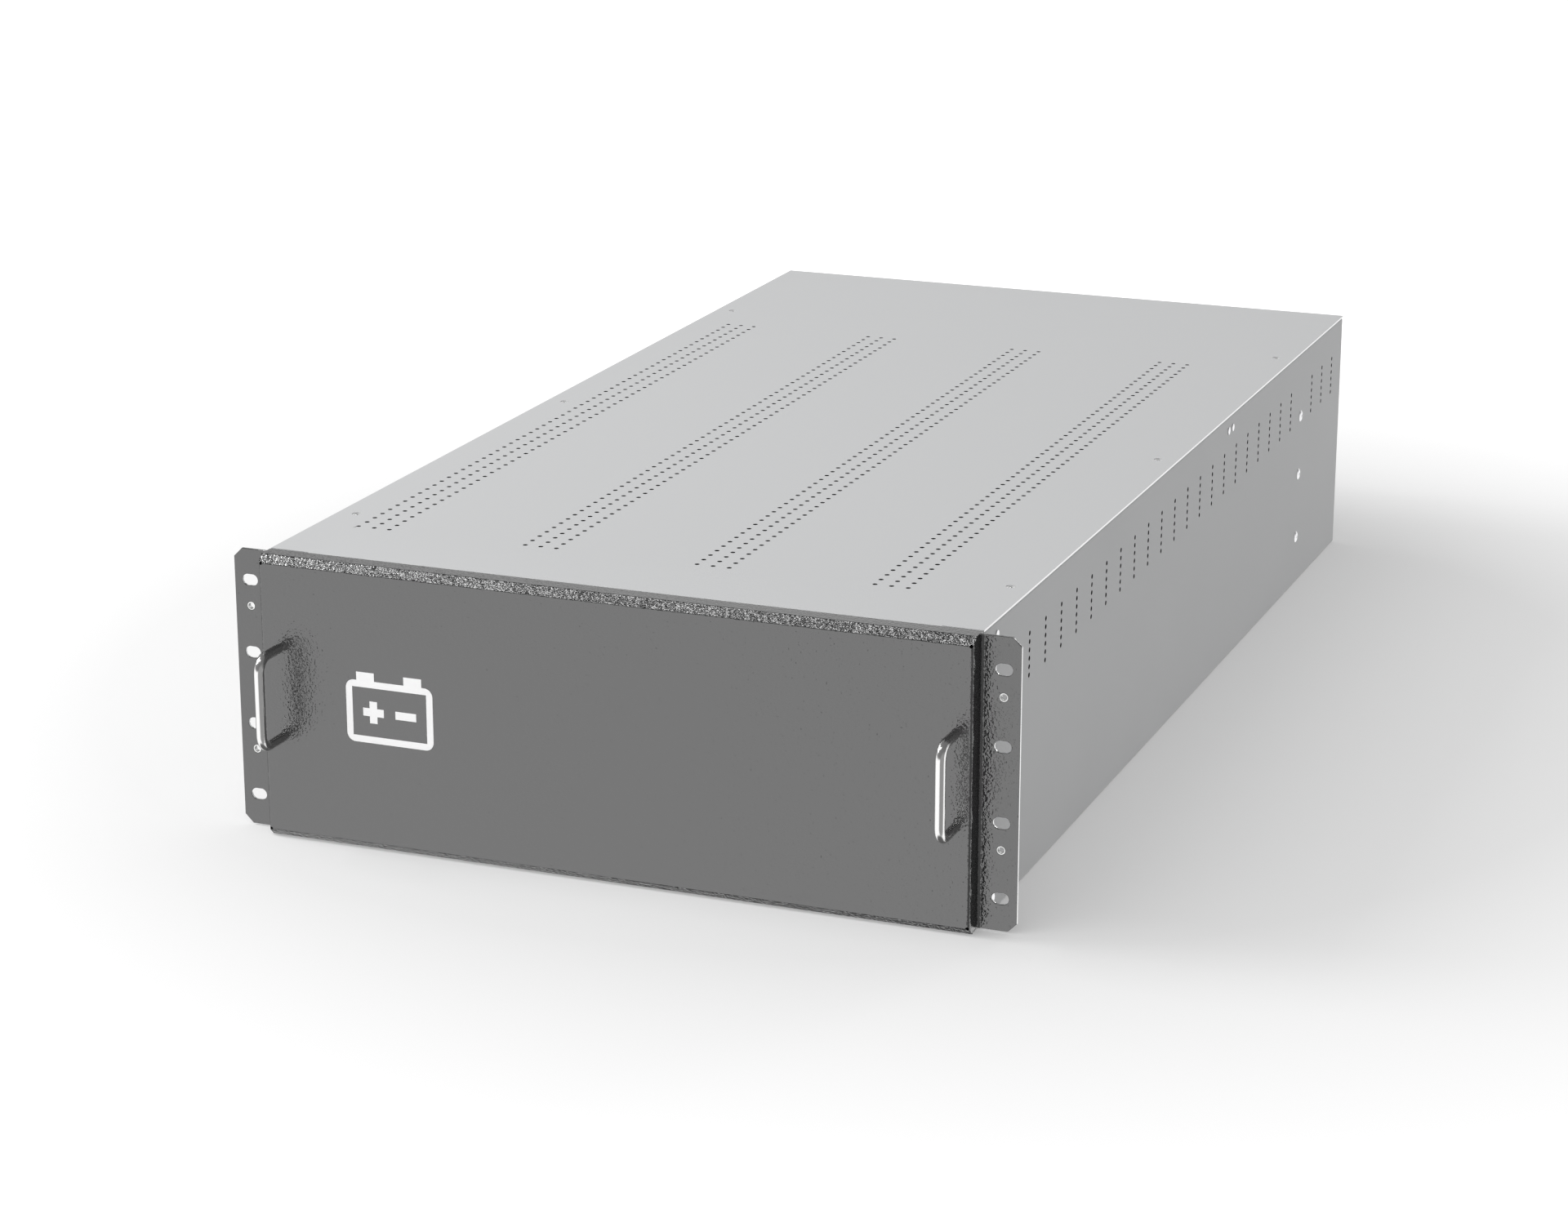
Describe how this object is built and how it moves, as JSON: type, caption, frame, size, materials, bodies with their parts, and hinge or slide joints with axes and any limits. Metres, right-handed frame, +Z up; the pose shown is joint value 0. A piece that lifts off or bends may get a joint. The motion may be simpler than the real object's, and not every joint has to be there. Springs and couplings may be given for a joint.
{
  "type": "external battery module",
  "caption": "Rack-mounted external battery module: a long low steel case with a folded front panel and ears, bar handles, perforated cover and sides, and battery packs inside.",
  "frame": {"origin": "under the middle of the whole module, on the surface that it stands on", "axes": "+X right seen from the front, +Y from the front panel to the rear, +Z up"},
  "size_m": [0.485, 0.8896, 0.1736],
  "materials": {
    "case_steel": "fine grey powder coat, semi-matte",
    "cover_steel": "light grey coat, semi-matte",
    "panel_paint": "dark grey fine-textured powder coat",
    "handle_steel": "polished bar",
    "zinc_fasteners": "bright zinc plate",
    "rivet_aluminium": "bright, plain",
    "inner_steel": "galvanised sheet",
    "copper": "plain bright metal",
    "insulator_plastic": "moulded, matte",
    "fuse_body": "smooth body",
    "socket_plastic": "moulded black, matte",
    "battery_plastic": "moulded black, fine grain"
  },
  "bodies": {
    "root": {"chassis": "case_steel", "top_cover": "cover_steel", "front_panel": "panel_paint", "handles": "handle_steel", "handle_screws": "zinc_fasteners", "cover_screws": "zinc_fasteners", "bulkhead_rivets": "rivet_aluminium", "brace_rivets": "rivet_aluminium", "bracket_rivets": "rivet_aluminium", "clinch_nuts": "zinc_fasteners", "front_bracket_left": "inner_steel", "front_bracket_right": "inner_steel", "cross_brace": "inner_steel", "bulkhead": "inner_steel", "busbar_positive": "copper", "busbar_negative": "copper", "busbar_insulators": "insulator_plastic", "fuse_holder": "insulator_plastic", "fuse": "fuse_body", "rear_panel": "case_steel", "dc_socket_in": "socket_plastic", "dc_socket_out": "socket_plastic", "socket_screws": "zinc_fasteners", "ground_stud": "copper", "ground_nut": "zinc_fasteners", "battery_tray_1": "inner_steel", "battery_blocks_1": "battery_plastic", "pack_clamp_1": "inner_steel", "cell_links_1": "copper", "pack_plug_1": "socket_plastic", "battery_tray_2": "inner_steel", "battery_blocks_2": "battery_plastic", "pack_clamp_2": "inner_steel", "cell_links_2": "copper", "pack_plug_2": "socket_plastic", "battery_tray_3": "inner_steel", "battery_blocks_3": "battery_plastic", "pack_clamp_3": "inner_steel", "cell_links_3": "copper", "pack_plug_3": "socket_plastic", "battery_tray_4": "inner_steel", "battery_blocks_4": "battery_plastic", "pack_clamp_4": "inner_steel", "cell_links_4": "copper", "pack_plug_4": "socket_plastic"}
  },
  "joints": []
}
